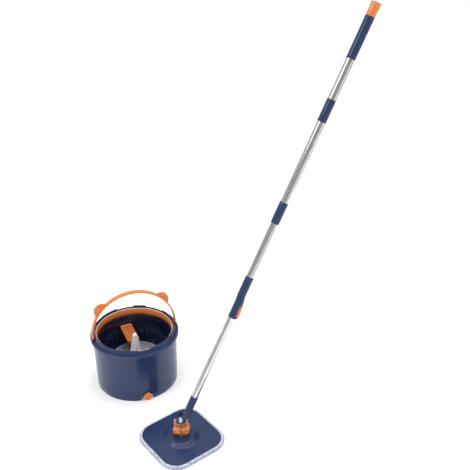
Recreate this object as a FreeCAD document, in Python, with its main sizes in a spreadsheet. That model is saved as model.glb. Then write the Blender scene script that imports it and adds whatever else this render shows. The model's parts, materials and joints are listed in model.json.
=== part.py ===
# Spin mop: a wash bucket with a lift-out wash unit, and a flat mop on a telescopic spin pole.
#
# Frame: millimetres, origin at the centre of the bucket's foot, +Z up, +X along the bail's hinge
# axis, and the drain plug faces -Y. The mop stands beside the bucket and its pole leans.
# The pole's own frame has its Z along the pole's centre line, and the joint's upper pin, which
# the pole's foot is cranked to, lies beside its origin on its X axis.

import FreeCAD, Part
import math
import os
import Sketcher
from FreeCAD import Placement, Rotation, Vector

os.makedirs("parts", exist_ok=True)
doc = FreeCAD.newDocument("spin_mop")

SIZES = {
    # bucket
    "foot_radius": 129.5,
    "body_top_radius": 132.5,
    "tub_wall": 2.5,
    "centre_foot_radius": 14.0,
    "tub_floor_under": 3.0,
    "tub_floor_top": 6.0,
    "collar_radius": 140.0,
    "collar_low": 166.0,
    "collar_top": 178.0,
    "crest_radius": 126.5,
    "crest_bore": 123.0,
    "crest_top": 189.0,
    "crest_base_radius": 131.2,
    "groove_floor": 176.0,
    "lip_width": 2.0,
    "ledge_bore": 117.5,
    "ledge_top": 161.0,
    "lug_height": 4.0,
    "crest_slit_width": 38.0,
    "crest_slit_depth": 2.5,
    # drain
    "alcove_width": 40.0,
    "alcove_top": 30.0,
    "alcove_wall_y": 110.0,
    "spout_end_y": 128.0,
    "spout_radius": 11.5,
    "spout_bore": 9.0,
    "drain_axis_z": 13.3,
    "plug_radius": 13.0,
    "plug_face_y": 135.0,
    "plug_stem": 12.0,
    # bail
    "hinge_z": 184.2,
    "bail_bore": 132.0,
    "bail_thickness": 4.6,
    "bail_width": 16.0,
    "bail_lean": 2.5,
    "ear_radius": 25.0,
    "ear_left_inset": 5.5,
    "ear_right_inset": 8.0,
    "ear_thickness": 6.0,
    "ear_left_angle": 137.3,
    "ear_right_angle": 43.8,
    "stub_radius": 3.0,
    "stub_tip": 125.0,
    "running_gap": 0.05,
    "part_gap": 0.3,
    # wash unit
    "bowl_top_bore": 115.5,
    "bowl_mid_bore": 107.6,
    "bowl_low_bore": 103.0,
    "bowl_wall": 2.0,
    "bowl_floor": 44.0,
    "band_top": 111.0,
    "port_z": 118.5,
    "port_radius": 107.2,
    "strainer_top": 79.0,
    "strainer_thickness": 1.5,
    "strainer_radius": 81.5,
    "strainer_bore": 25.0,
    "band_outer": 106.6,
    "band_top_bore": 104.6,
    "band_low_bore": 102.6,
    "splash_bore": 119.7,
    "splash_top": 185.5,
    "bar_width": 37.0,
    "bar_top": 131.0,
    "bar_inner_y": 17.0,
    "bar_outer_y": 106.7,
    "bar_flange_top": 135.0,
    "bar_depth": 14.0,
    "bar_turn": 3.5,
    "column_radius": 20.5,
    "column_bore": 18.0,
    "column_bottom": 10.0,
    "column_top": 71.0,
    "feed_radius": 3.0,
    "feed_turn": 140.0,
    "feed_out": 113.6,
    "feed_low": 33.0,
    # spindle
    "shaft_radius": 4.0,
    "cone_base_radius": 22.5,
    "cone_base_z": 81.0,
    "cone_tip_z": 167.0,
    "impeller_radius": 14.0,
    # mop head
    "mop_x": 48.3,
    "mop_y": -332.4,
    "mop_turn": -21.1,
    "plate_turn": 17.5,
    "plate_side": 193.0,
    "plate_corner": 48.0,
    "plate_under": 7.1,
    "plate_top": 10.2,
    "boss_radius": 40.0,
    "boss_top": 18.0,
    "pad_overhang": 7.0,
    "pad_thickness": 5.65,
    "pad_bore": 20.0,
    "socket_radius": 12.5,
    "socket_top": 38.0,
    "yoke_base_top": 47.0,
    "yoke_depth": 27.0,
    "prong_inner": 13.5,
    "prong_outer": 20.3,
    "prong_radius": 5.5,
    # universal joint and pole, along the pole from the joint
    "pivot_z": 66.9,
    "trunnion_rise": 8.5,
    "crank": 10.6,
    "lean_side": -13.51,
    "lean_front": 23.57,
    "pin_radius": 2.5,
    "trunnion_radius": 4.0,
    "ear_face": 8.4,
    "ear_back": 12.0,
    "connector_radius": 11.0,
    "connector_top": 79.2,
    "inner_tube_radius": 9.5,
    "outer_tube_radius": 11.0,
    "tube_wall": 0.6,
    "inner_tube_bottom": 40.0,
    "inner_tube_top": 431.0,
    "lock_bottom": 344.6,
    "lock_top": 471.7,
    "lock_radius": 12.1,
    "housing_radius": 13.6,
    "housing_offset": 3.0,
    "housing_top": 394.0,
    "shoulder_top": 412.0,
    "tube_bottom": 393.5,
    "lower_joint": 680.0,
    "upper_joint": 963.0,
    "lower_sleeve_bottom": 636.1,
    "upper_sleeve_bottom": 931.9,
    "sleeve_length": 62.5,
    "sleeve_radius": 12.2,
    "grip_bottom": 1105.8,
    "grip_top": 1219.1,
    "grip_radius": 12.4,
    "cap_top": 1256.4,
    "cap_radius": 12.4,
    "cap_top_radius": 13.8,
    "hang_hole_radius": 4.0,
    "hang_hole_at": 1244.0,
    "hang_hole_turn": 62.0,
    "rod_lead": 80.0,
    "rod_width": 10.0,
    "rod_thickness": 2.5,
    "rod_bottom": 396.0,
    "rod_top": 651.0,
    "button_turn": 70.0,
    "button_at": 368.0,
    "button_length": 38.0,
    "button_width": 15.0,
    "button_outer": 16.9,
    "button_proud": 19.3,
    "button_margin": 2.2,
    "button_inner": 12.0,
    "button_pocket": 10.8,
}


class Size:
    """A length with the sheet expression that gives it."""

    def __init__(self, value, text):
        self.value = value
        self.text = text

    def joined(self, other, sign, value):
        return Size(value, f"({self.text} {sign} {as_size(other).text})")

    def __add__(self, other):
        return self.joined(other, "+", self.value + as_size(other).value)

    def __sub__(self, other):
        return self.joined(other, "-", self.value - as_size(other).value)

    def __mul__(self, other):
        return self.joined(other, "*", self.value * as_size(other).value)

    def __truediv__(self, other):
        return self.joined(other, "/", self.value / as_size(other).value)

    def __neg__(self):
        return Size(-self.value, f"(0 - {self.text})")


def as_size(item):
    return item if isinstance(item, Size) else Size(float(item), str(item))


class Sheet:
    """The spreadsheet: every alias is an attribute that reads as a Size."""

    def __init__(self, values):
        cells = doc.addObject("Spreadsheet::Sheet", "sizes")
        for row, (alias, value) in enumerate(values.items(), start=1):
            cells.set(f"A{row}", alias)
            cells.set(f"B{row}", str(value))
            cells.setAlias(f"B{row}", alias)
            setattr(self, alias, Size(value, f"sizes.{alias}"))


mm = Sheet(SIZES)
doc.recompute()
nodes = []

ORIGIN = Vector(0, 0, 0)
X_AXIS = Vector(1, 0, 0)
Y_AXIS = Vector(0, 1, 0)
Z_AXIS = Vector(0, 0, 1)

MOP_SPOT = Vector(mm.mop_x.value, mm.mop_y.value, 0)
PIVOT = MOP_SPOT + Vector(0, 0, mm.pivot_z.value)
MOP_ROTATION = Rotation(Z_AXIS, mm.mop_turn.value)
CROSS_ROTATION = MOP_ROTATION * Rotation(X_AXIS, mm.lean_side.value)
POLE_ROTATION = CROSS_ROTATION * Rotation(Y_AXIS, mm.lean_front.value)

AT_BUCKET = Placement()
AT_BAIL = Placement(Vector(0, 0, mm.hinge_z.value), Rotation(X_AXIS, -mm.bail_lean.value))
AT_BAR = Placement(ORIGIN, Rotation(Z_AXIS, mm.bar_turn.value))
AT_PLATE = Placement(MOP_SPOT, Rotation(Z_AXIS, mm.plate_turn.value))
AT_HEAD = Placement(MOP_SPOT, MOP_ROTATION)
AT_CROSS = Placement(PIVOT, CROSS_ROTATION)
UPPER_PIVOT = AT_CROSS.multVec(Z_AXIS * mm.trunnion_rise.value)
AT_POLE = Placement(UPPER_PIVOT, POLE_ROTATION) * Placement(Vector(mm.crank.value, 0, 0), Rotation())


# ---- drawing helpers -------------------------------------------------------------------------

def bind(item, prop, size):
    """Set a property and tie it to the sheet where the size comes from there."""
    size = as_size(size)
    if "sizes." in size.text:
        item.setExpression(prop, size.text)
    else:
        setattr(item, prop, size.value)


def new_body(label, place=AT_BUCKET):
    body = doc.addObject("PartDesign::Body", label)
    body.Label = label
    body.Placement = place
    nodes.append(body)
    return body


def origin_item(body, role):
    return next(item for item in body.Origin.OriginFeatures if item.Role == role)


def new_sketch(body, plane, lift=0, turn=0):
    """Sketch on an origin plane, lifted along its normal; a standing one can turn about Z."""
    sketch = body.newObject("Sketcher::SketchObject", f"{body.Name}_sketch")
    sketch.AttachmentSupport = [(origin_item(body, plane), "")]
    sketch.MapMode = "FlatFace"
    lift = as_size(lift)
    swing = Rotation(Y_AXIS, as_size(turn).value)
    sketch.AttachmentOffset = Placement(swing.multVec(Vector(0, 0, lift.value)), swing)
    if swing.Angle == 0 and "sizes." in lift.text:
        sketch.setExpression("AttachmentOffset.Base.z", lift.text)
    return sketch


def tie(sketch, kind, *place_and_size):
    """Add a dimension whose last argument is its size."""
    *place, size = place_and_size
    size = as_size(size)
    number = sketch.addConstraint(Sketcher.Constraint(kind, *place, size.value))
    if "sizes." in size.text:
        sketch.setExpression(f"Constraints[{number}]", size.text)


def outline(sketch, corners):
    """Closed polygon with every corner placed from the origin."""
    corners = [(as_size(x), as_size(y)) for x, y in corners]
    points = [Vector(x.value, y.value, 0) for x, y in corners]
    first = sketch.GeometryCount
    for start, end in zip(points, points[1:] + points[:1]):
        sketch.addGeometry(Part.LineSegment(start, end))
    for index, (x, y) in enumerate(corners):
        line = first + index
        before = first + (index - 1) % len(corners)
        sketch.addConstraint(Sketcher.Constraint("Coincident", before, 2, line, 1))
        tie(sketch, "DistanceX", -1, 1, line, 1, x)
        tie(sketch, "DistanceY", -1, 1, line, 1, y)


def rectangle(sketch, left, low, right, high):
    outline(sketch, [(left, low), (right, low), (right, high), (left, high)])


def circle(sketch, x, y, radius):
    x, y, radius = as_size(x), as_size(y), as_size(radius)
    number = sketch.addGeometry(Part.Circle(Vector(x.value, y.value, 0), Z_AXIS, radius.value))
    tie(sketch, "Radius", number, radius)
    tie(sketch, "DistanceX", -1, 1, number, 3, x)
    tie(sketch, "DistanceY", -1, 1, number, 3, y)


def slot(sketch, x, low, high, radius):
    """Upright stadium outline: two half circles of one radius joined by straight sides."""
    x, low, high, radius = as_size(x), as_size(low), as_size(high), as_size(radius)
    top = Part.Circle(Vector(x.value, high.value, 0), Z_AXIS, radius.value)
    foot = Part.Circle(Vector(x.value, low.value, 0), Z_AXIS, radius.value)
    over = sketch.addGeometry(Part.ArcOfCircle(top, 0, math.pi))
    under = sketch.addGeometry(Part.ArcOfCircle(foot, math.pi, 2 * math.pi))
    left_x = x.value - radius.value
    right_x = x.value + radius.value
    left = sketch.addGeometry(Part.LineSegment(Vector(left_x, high.value, 0), Vector(left_x, low.value, 0)))
    foot_end = Vector(right_x, low.value, 0)
    right = sketch.addGeometry(Part.LineSegment(foot_end, Vector(right_x, high.value, 0)))
    loop = (over, left, under, right)
    for before, after in zip(loop, loop[1:] + loop[:1]):
        sketch.addConstraint(Sketcher.Constraint("Tangent", before, 2, after, 1))
    tie(sketch, "Radius", over, radius)
    tie(sketch, "DistanceX", -1, 1, over, 3, x)
    tie(sketch, "DistanceY", -1, 1, over, 3, high)
    tie(sketch, "DistanceX", -1, 1, under, 3, x)
    tie(sketch, "DistanceY", -1, 1, under, 3, low)


def feature(body, kind, profile):
    item = body.newObject(f"PartDesign::{kind}", f"{body.Name}_{kind.lower()}")
    item.Profile = profile
    return item


def revolve(body, sketch, axis="V_Axis", angle=360, kind="Revolution"):
    item = feature(body, kind, sketch)
    item.ReferenceAxis = (sketch, [axis])
    bind(item, "Angle", angle)
    doc.recompute()
    return item


def extrude(body, sketch, length, kind="Pad", both=False, back=False):
    """Pad or pocket; both spreads it evenly to each side, back turns it round."""
    item = feature(body, kind, sketch)
    bind(item, "Length", length)
    item.SideType = "Symmetric" if both else "One side"
    item.Reversed = back
    doc.recompute()
    return item


def polar(body, item, count):
    """Repeat a feature evenly round the body's Z axis."""
    pattern = body.newObject("PartDesign::PolarPattern", f"{body.Name}_pattern")
    pattern.Originals = [item]
    pattern.Axis = (origin_item(body, "Z_Axis"), [""])
    pattern.Angle = 360
    pattern.Occurrences = count
    body.Tip = pattern
    doc.recompute()
    return pattern


def mirror(body, item, plane):
    pattern = body.newObject("PartDesign::Mirrored", f"{body.Name}_mirror")
    pattern.Originals = item if isinstance(item, list) else [item]
    pattern.MirrorPlane = (origin_item(body, plane), [""])
    body.Tip = pattern
    doc.recompute()
    return pattern


def round_edges(body, radius, wanted, kind="Fillet"):
    """Fillet or chamfer the edges of the body's tip that pass a test."""
    base = body.Tip
    names = [f"Edge{number}" for number, edge in enumerate(base.Shape.Edges, start=1) if wanted(edge)]
    item = body.newObject(f"PartDesign::{kind}", f"{body.Name}_{kind.lower()}")
    item.Base = (base, names)
    bind(item, "Radius" if kind == "Fillet" else "Size", radius)
    doc.recompute()
    return item


def is_upright(edge):
    if not isinstance(edge.Curve, Part.Line):
        return False
    return abs(edge.Curve.Direction.z) > 0.999


def is_ring(edge, radius, height):
    """True for a round edge about Z at this radius and height."""
    if not isinstance(edge.Curve, Part.Circle):
        return False
    radius, height = as_size(radius).value, as_size(height).value
    return abs(edge.Curve.Radius - radius) < 0.01 and abs(edge.Curve.Center.z - height) < 0.01


def at_height(edge, height):
    height = as_size(height).value
    return all(abs(vertex.Point.z - height) < 0.01 for vertex in edge.Vertexes)


def turned(label, corners, place=AT_BUCKET):
    """A whole piece turned about Z from its half section (radius, height)."""
    body = new_body(label, place)
    sketch = new_sketch(body, "XZ_Plane")
    outline(sketch, corners)
    revolve(body, sketch)
    return body


def tube(label, radius, bore, low, high, place=AT_BUCKET):
    return turned(label, [(bore, low), (radius, low), (radius, high), (bore, high)], place)


def loose_solids(label, solids, place=AT_BUCKET):
    """One node that groups identical loose solids."""
    item = doc.addObject("Part::Feature", label)
    item.Label = label
    item.Shape = Part.makeCompound(solids)
    item.Placement = place
    nodes.append(item)
    return item


def screw(head_radius, head_height, shank_radius, length, spot, direction=Z_AXIS):
    """A pan head with its shank running against the direction the head faces."""
    head = Part.makeCylinder(head_radius, head_height, spot, direction)
    shank = Part.makeCylinder(shank_radius, length, spot, direction * -1)
    return head.fuse(shank)


# ---- bucket ----------------------------------------------------------------------------------

def make_tub():
    """Tank with a foot ring, a collar grooved for the bail, and a crest with a ledge in it."""
    body = new_body("tub")
    section = new_sketch(body, "XZ_Plane")
    foot_bore = mm.foot_radius - mm.tub_wall
    skirt_bore = mm.collar_radius - mm.tub_wall
    skirt_outer = mm.crest_bore + mm.tub_wall
    deck_under = mm.groove_floor - mm.tub_wall
    outline(section, [
        (0, 0),
        (mm.centre_foot_radius, 0),
        (mm.centre_foot_radius, mm.tub_floor_under),
        (foot_bore, mm.tub_floor_under),
        (foot_bore, 0),
        (mm.foot_radius, 0),
        (mm.body_top_radius, deck_under),
        (skirt_bore, deck_under),
        (skirt_bore, mm.collar_low),
        (mm.collar_radius, mm.collar_low),
        (mm.collar_radius, mm.collar_top),
        (mm.collar_radius - mm.lip_width, mm.collar_top),
        (mm.collar_radius - mm.lip_width - 0.6, mm.groove_floor),
        (mm.crest_base_radius, mm.groove_floor),
        (mm.crest_radius, mm.crest_top),
        (mm.crest_bore, mm.crest_top),
        (mm.crest_bore, mm.ledge_top),
        (mm.ledge_bore, mm.ledge_top),
        (mm.ledge_bore, mm.ledge_top - mm.tub_wall),
        (skirt_outer, mm.ledge_top - mm.tub_wall),
        (skirt_outer, deck_under),
        (mm.body_top_radius - mm.tub_wall, deck_under),
        (foot_bore, mm.tub_floor_top),
        (0, mm.tub_floor_top),
    ])
    revolve(body, section)
    add_crest_lugs(body)
    cut_crest_slit(body)
    add_drain_alcove(body)
    cut_hinge_holes(body)
    round_edges(body, 1.5, lambda edge: is_ring(edge, mm.collar_radius, mm.collar_top))
    round_edges(body, 1, lambda edge: is_ring(edge, mm.collar_radius, mm.collar_low))
    return body


def add_crest_lugs(body):
    """Three low raised arcs on the crest, from one bearing to the next."""
    for start, end in ((-5, 28), (58, 78), (104, 150)):
        sketch = new_sketch(body, "XZ_Plane", turn=start)
        lug_top = mm.crest_top + mm.lug_height
        rectangle(sketch, mm.crest_bore, mm.crest_top - 1, mm.crest_radius - 0.2, lug_top)
        revolve(body, sketch, angle=end - start)


def cut_crest_slit(body):
    sketch = new_sketch(body, "XZ_Plane", lift=mm.crest_radius + 10)
    half = mm.crest_slit_width / 2
    rectangle(sketch, -half, mm.crest_top - mm.crest_slit_depth, half, mm.crest_top + 5)
    extrude(body, sketch, 30, "Pocket")


def arch(sketch, half_width, low, top):
    """Upright sides closed by a half circle."""
    half_width, low, top = as_size(half_width), as_size(low), as_size(top)
    spring = top - half_width
    left, right = -half_width.value, half_width.value
    crown = Part.Circle(Vector(0, spring.value, 0), Z_AXIS, right)
    over = sketch.addGeometry(Part.ArcOfCircle(crown, 0, math.pi))
    side = sketch.addGeometry(Part.LineSegment(Vector(left, spring.value, 0), Vector(left, low.value, 0)))
    sill = sketch.addGeometry(Part.LineSegment(Vector(left, low.value, 0), Vector(right, low.value, 0)))
    back = sketch.addGeometry(Part.LineSegment(Vector(right, low.value, 0), Vector(right, spring.value, 0)))
    sketch.addConstraint(Sketcher.Constraint("Tangent", over, 2, side, 1))
    sketch.addConstraint(Sketcher.Constraint("Coincident", side, 2, sill, 1))
    sketch.addConstraint(Sketcher.Constraint("Coincident", sill, 2, back, 1))
    sketch.addConstraint(Sketcher.Constraint("Tangent", back, 2, over, 1))
    tie(sketch, "Radius", over, half_width)
    tie(sketch, "DistanceX", -1, 1, over, 3, 0)
    tie(sketch, "DistanceY", -1, 1, over, 3, spring)
    tie(sketch, "DistanceY", -1, 1, sill, 1, low)
    tie(sketch, "DistanceY", -1, 1, sill, 2, low)


def add_drain_alcove(body):
    """Arched recess in the front of the tank, with the spout standing on its back wall."""
    half = mm.alcove_width / 2
    block = new_sketch(body, "XZ_Plane", lift=mm.alcove_wall_y - mm.tub_wall)
    arch(block, half + mm.tub_wall, mm.tub_floor_under, mm.alcove_top + mm.tub_wall)
    extrude(body, block, mm.foot_radius - mm.alcove_wall_y + 1)
    recess = new_sketch(body, "XZ_Plane", lift=mm.collar_radius)
    arch(recess, half, -5, mm.alcove_top)
    extrude(body, recess, mm.collar_radius - mm.alcove_wall_y, "Pocket")
    spout = new_sketch(body, "XZ_Plane", lift=mm.alcove_wall_y)
    circle(spout, 0, mm.drain_axis_z, mm.spout_radius)
    extrude(body, spout, mm.spout_end_y - mm.alcove_wall_y)
    bore = new_sketch(body, "XZ_Plane", lift=mm.spout_end_y)
    circle(bore, 0, mm.drain_axis_z, mm.spout_bore)
    extrude(body, bore, 20, "Pocket")


def cut_hinge_holes(body):
    """The bail's stubs turn in two blind holes in the crest's outer side."""
    sketch = new_sketch(body, "YZ_Plane", lift=mm.crest_base_radius)
    circle(sketch, 0, mm.hinge_z, mm.stub_radius + mm.running_gap)
    hole = extrude(body, sketch, mm.crest_base_radius - mm.stub_tip + 0.4, "Pocket")
    mirror(body, hole, "YZ_Plane")


def make_bail():
    """Half hoop with rounded ends, a hinge stub inside each end and two ears outside."""
    body = new_body("bail", AT_BAIL)
    outer = mm.bail_bore + mm.bail_thickness
    half = mm.bail_width / 2
    for angle, inset in (
        (mm.ear_left_angle, mm.ear_left_inset),
        (mm.ear_right_angle, mm.ear_right_inset),
    ):
        bearing = math.radians(angle.value)
        disc = new_sketch(body, "XZ_Plane")
        reach = outer - inset
        circle(disc, reach * math.cos(bearing), reach * math.sin(bearing), mm.ear_radius)
        extrude(body, disc, mm.ear_thickness, both=True)
    inside = new_sketch(body, "XZ_Plane")
    circle(inside, 0, 0, mm.bail_bore + 1)
    extrude(body, inside, 60, "Pocket", both=True)
    hoop = new_sketch(body, "XY_Plane")
    rectangle(hoop, mm.bail_bore, -half, outer, half)
    sweep = revolve(body, hoop, angle=180)
    sweep.Reversed = True
    doc.recompute()
    leg = new_sketch(body, "YZ_Plane", lift=mm.bail_bore)
    slot(leg, 0, 0, 4, half)
    leg_pad = extrude(body, leg, mm.bail_thickness)
    stub = new_sketch(body, "YZ_Plane", lift=mm.stub_tip)
    circle(stub, 0, 0, mm.stub_radius)
    stub_pad = extrude(body, stub, mm.bail_bore - mm.stub_tip + 1)
    mirror(body, [leg_pad, stub_pad], "YZ_Plane")
    return body


def make_drain_plug():
    """Round knob with a dimple, and a grooved stem in the spout's bore."""
    place = Placement(Vector(0, -mm.spout_end_y.value, mm.drain_axis_z.value), Rotation(X_AXIS, 90))
    depth = mm.plug_face_y - mm.spout_end_y
    stem_radius = mm.spout_bore - mm.running_gap
    body = turned("drain_plug", [
        (0, -mm.plug_stem),
        (stem_radius, -mm.plug_stem),
        (stem_radius, -6.6),
        (7.4, -6.6),
        (7.4, -4.2),
        (stem_radius, -4.2),
        (stem_radius, 0.3),
        (mm.plug_radius, 0.3),
        (mm.plug_radius, depth - 1.5),
        (mm.plug_radius - 1.5, depth),
        (7.5, depth),
        (7.0, depth - 1.2),
        (4.5, depth - 1.6),
        (3.5, depth - 2.6),
        (0, depth - 2.6),
    ], place)
    tube("drain_seal", mm.spout_bore - 0.02, 7.45, -6.5, -4.3, place)
    return body


# ---- wash unit -------------------------------------------------------------------------------

def make_wash_bowl():
    """Inner basin that hangs on the tub's ledge; a sleeve in its floor lets the pump through."""
    outer_low = mm.bowl_low_bore + mm.bowl_wall
    outer_mid = mm.bowl_mid_bore + mm.bowl_wall
    body = turned("wash_bowl", [
        (22, mm.bowl_floor - mm.bowl_wall),
        (outer_low, mm.bowl_floor - mm.bowl_wall),
        (outer_mid, mm.band_top),
        (mm.bowl_top_bore + 1.6, mm.ledge_top - 0.5),
        (mm.bowl_top_bore + 1.6, mm.ledge_top + 0.2),
        (mm.crest_bore - 0.4, mm.ledge_top + 0.2),
        (mm.crest_bore - 0.4, mm.ledge_top + 2.2),
        (mm.bowl_top_bore, mm.ledge_top + 2.2),
        (mm.bowl_mid_bore, mm.band_top),
        (mm.band_outer + 0.2, mm.strainer_top - 1.7),
        (mm.strainer_radius - 3, mm.strainer_top - 1.7),
        (mm.strainer_radius - 3, mm.strainer_top - 3.7),
        (mm.bowl_low_bore + 1, mm.strainer_top - 8),
        (mm.bowl_low_bore, mm.bowl_floor),
        (24, mm.bowl_floor),
        (24, 69),
        (22, 69),
    ])
    inlet = new_sketch(body, "XZ_Plane", lift=80, turn=mm.feed_turn + 90)
    circle(inlet, 0, mm.port_z, mm.feed_radius + 1.2)
    extrude(body, inlet, 60, "Pocket", back=True)
    return body


def make_splash_ring():
    """Bright hoop that stands on the bowl's flange, with a turned-out top edge."""
    low = mm.ledge_top + 2.4
    return turned("splash_ring", [
        (mm.splash_bore, low),
        (mm.splash_bore + 1.8, low),
        (mm.splash_bore + 1.8, mm.splash_top - 2),
        (mm.crest_bore - 0.4, mm.splash_top - 2),
        (mm.crest_bore - 0.4, mm.splash_top - 0.6),
        (mm.crest_bore - 1.0, mm.splash_top),
        (mm.splash_bore + 0.5, mm.splash_top),
        (mm.splash_bore, mm.splash_top - 0.8),
    ])


def make_slotted_band():
    """Ribbed wall insert with upright slots, standing on the strainer."""
    body = turned("slotted_band", [
        (mm.band_low_bore, mm.strainer_top - mm.strainer_thickness),
        (mm.band_outer, mm.strainer_top - mm.strainer_thickness),
        (mm.band_outer, mm.band_top),
        (mm.band_top_bore, mm.band_top),
    ])
    sketch = new_sketch(body, "XZ_Plane", lift=mm.band_outer + 2)
    rectangle(sketch, -2.5, mm.strainer_top + 5, 2.5, mm.band_top - 6)
    slit = extrude(body, sketch, 10, "Pocket")
    polar(body, slit, 36)
    return body


def make_strainer_disc():
    """Pressed metal plate with rings of drain slots round the spindle."""
    body = tube("strainer_disc", mm.strainer_radius, mm.strainer_bore,
                mm.strainer_top - mm.strainer_thickness, mm.strainer_top, AT_BAR)
    for inner, outer, count in ((30, 42, 18), (48, 60, 28), (65, 76, 42)):
        sketch = new_sketch(body, "XY_Plane", lift=mm.strainer_top + 1)
        rectangle(sketch, inner, -1.25, outer, 1.25)
        drain = extrude(body, sketch, 5, "Pocket")
        polar(body, drain, count)
    return body


def make_scrub_bar():
    """Ribbed bar that reaches in from the bowl's wall and scrubs the turning pad."""
    body = new_body("scrub_bar", AT_BAR)
    half = mm.bar_width / 2
    deck = mm.bar_top - 3
    under = mm.bar_top - mm.bar_depth
    profile = new_sketch(body, "XZ_Plane", lift=-mm.bar_outer_y)
    outline(profile, [
        (-half, under),
        (-half + 2.5, under),
        (-half + 2.5, deck - 2.5),
        (half - 2.5, deck - 2.5),
        (half - 2.5, under),
        (half, under),
        (half, mm.bar_top + 1),
        (half - 3, mm.bar_top + 1),
        (half - 3, deck),
        (-half + 3, deck),
        (-half + 3, mm.bar_top + 1),
        (-half, mm.bar_top + 1),
    ])
    length = mm.bar_outer_y - mm.bar_inner_y
    extrude(body, profile, length)
    for centre in (-8.2, 0, 8.2):
        rib = new_sketch(body, "XZ_Plane", lift=-mm.bar_outer_y + 1)
        outline(rib, [
            (centre - 2.2, deck - 0.5),
            (centre + 2.2, deck - 0.5),
            (centre + 1.2, mm.bar_top),
            (centre - 1.2, mm.bar_top),
        ])
        extrude(body, rib, length - 2)
    flange = new_sketch(body, "XZ_Plane", lift=-mm.bar_outer_y)
    outline(flange, [
        (-half, under),
        (half, under),
        (half, mm.bar_top + 2),
        (half - 5, mm.bar_flange_top),
        (-half + 5, mm.bar_flange_top),
        (-half, mm.bar_top + 2),
    ])
    extrude(body, flange, 8)
    tip = new_sketch(body, "XZ_Plane", lift=-mm.bar_inner_y - 3)
    rectangle(tip, -half + 1, under, half - 1, deck - 1)
    extrude(body, tip, 3)
    round_edges(body, 1.2, lambda edge: is_bar_rim(edge))
    height = mm.bar_top - 4
    back = mm.bar_outer_y.value + 5.9
    spots = [Vector(x, back, height.value) for x in (-9, 9)]
    loose_solids("bar_screws", [screw(3.0, 1.5, 1.4, 11, spot, Y_AXIS) for spot in spots], AT_BAR)
    bowl = doc.getObject("wash_bowl")
    for spot in spots:
        hole = new_sketch(body, "XZ_Plane", lift=-mm.bar_outer_y - 1)
        circle(hole, spot.x, height, 1.5)
        extrude(body, hole, 8, "Pocket", back=True)
        wall = new_sketch(bowl, "XZ_Plane", lift=-90, turn=mm.bar_turn)
        circle(wall, spot.x, height, 1.8)
        extrude(bowl, wall, 40, "Pocket")
    return body


def is_bar_rim(edge):
    """Long top edges of the bar's two side rails."""
    high = mm.bar_top.value + 1
    return all(abs(vertex.Point.z - high) < 0.01 for vertex in edge.Vertexes) and edge.Length > 40


def make_spray_nozzle():
    """Small round port in the bowl's wall that ends the feed pipe."""
    bearing = mm.feed_turn.value
    out = Rotation(Z_AXIS, bearing).multVec(Vector(mm.port_radius.value, 0, mm.port_z.value))
    place = Placement(out, Rotation(Z_AXIS, bearing) * Rotation(Y_AXIS, -90))
    return turned("spray_nozzle", [
        (1.4, -2.7),
        (2.1, -2.7),
        (2.1, 0),
        (6.0, 0),
        (6.0, 2.5),
        (4.6, 4.5),
        (2.4, 4.5),
        (1.4, 3.0),
    ], place)


def make_feed_pipe():
    """Water pipe from the pump column out under the bowl and up beside its wall."""
    radius = mm.feed_radius.value
    low, high = mm.feed_low.value, mm.port_z.value
    start, out, end = mm.column_radius.value + 0.2, mm.feed_out.value, mm.port_radius.value + 0.4
    bend = 8.0
    short = 3.6
    bow = bend * (1 - math.sqrt(0.5))
    nip = short * (1 - math.sqrt(0.5))
    foot = Vector(start, 0, low)
    turn_in = Vector(out - bend, 0, low)
    turn_up = Vector(out, 0, low + bend)
    turn_back = Vector(out, 0, high - short)
    port = Vector(out - short, 0, high)
    path = Part.Wire([
        Part.LineSegment(foot, turn_in).toShape(),
        Part.Arc(turn_in, Vector(out - bow, 0, low + bow), turn_up).toShape(),
        Part.LineSegment(turn_up, turn_back).toShape(),
        Part.Arc(turn_back, Vector(out - nip, 0, high - nip), port).toShape(),
        Part.LineSegment(port, Vector(end, 0, high)).toShape(),
    ])
    rings = [Part.Wire(Part.makeCircle(size, foot, X_AXIS)) for size in (radius, radius - 0.8)]
    skin, core = [path.makePipeShell([ring], True, False) for ring in rings]
    item = doc.addObject("Part::Feature", "feed_pipe")
    item.Label = "feed_pipe"
    item.Shape = skin.cut(core)
    item.Placement = Placement(ORIGIN, Rotation(Z_AXIS, mm.feed_turn.value))
    nodes.append(item)
    return item


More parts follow.
